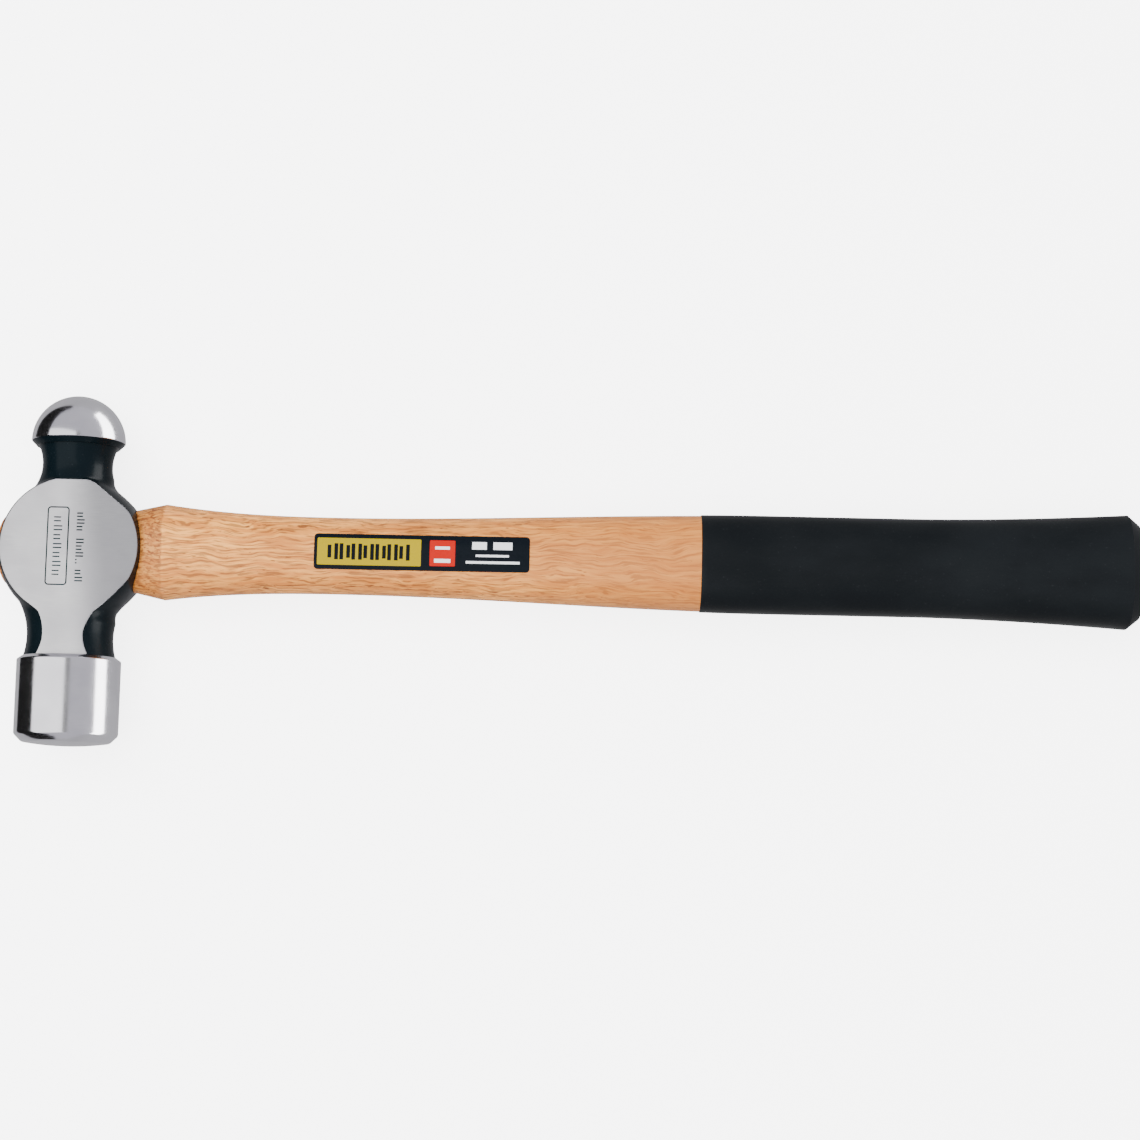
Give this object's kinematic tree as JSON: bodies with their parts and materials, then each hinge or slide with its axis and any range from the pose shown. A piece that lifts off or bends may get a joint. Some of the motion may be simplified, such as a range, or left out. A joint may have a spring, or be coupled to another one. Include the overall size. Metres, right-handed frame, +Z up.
{
  "type": "ball peen hammer",
  "caption": "Ball peen hammer: forged steel head with a round ball and a crowned poll, wedged on an oval hardwood handle with a dipped black grip and a side label.",
  "frame": {"origin": "centre of the bottom of the whole hammer as it lies on its side, under the lowest line of the poll", "axes": "+X along the handle from the head to the butt; +Y along the head from the striking face to the ball; +Z up, square to the ground cheeks, with the labelled side on top"},
  "size_m": [0.4244, 0.1308, 0.0381],
  "materials": {
    "head_steel": "ground cheeks, polished ball and poll, black enamelled necks",
    "handle_wood": "clear satin lacquer over pale ring-porous hardwood",
    "wedge_wood": "bare hardwood end grain",
    "wedge_steel": "dull mild steel",
    "grip_black": "smooth satin black dip",
    "label_film": "gloss printed film, black ground with a yellow and a red panel"
  },
  "bodies": {
    "root": {"hammer_head": "head_steel", "handle": "handle_wood", "wooden_wedge": "wedge_wood", "steel_wedges": "wedge_steel", "grip_sleeve": "grip_black", "label": "label_film"}
  },
  "joints": []
}
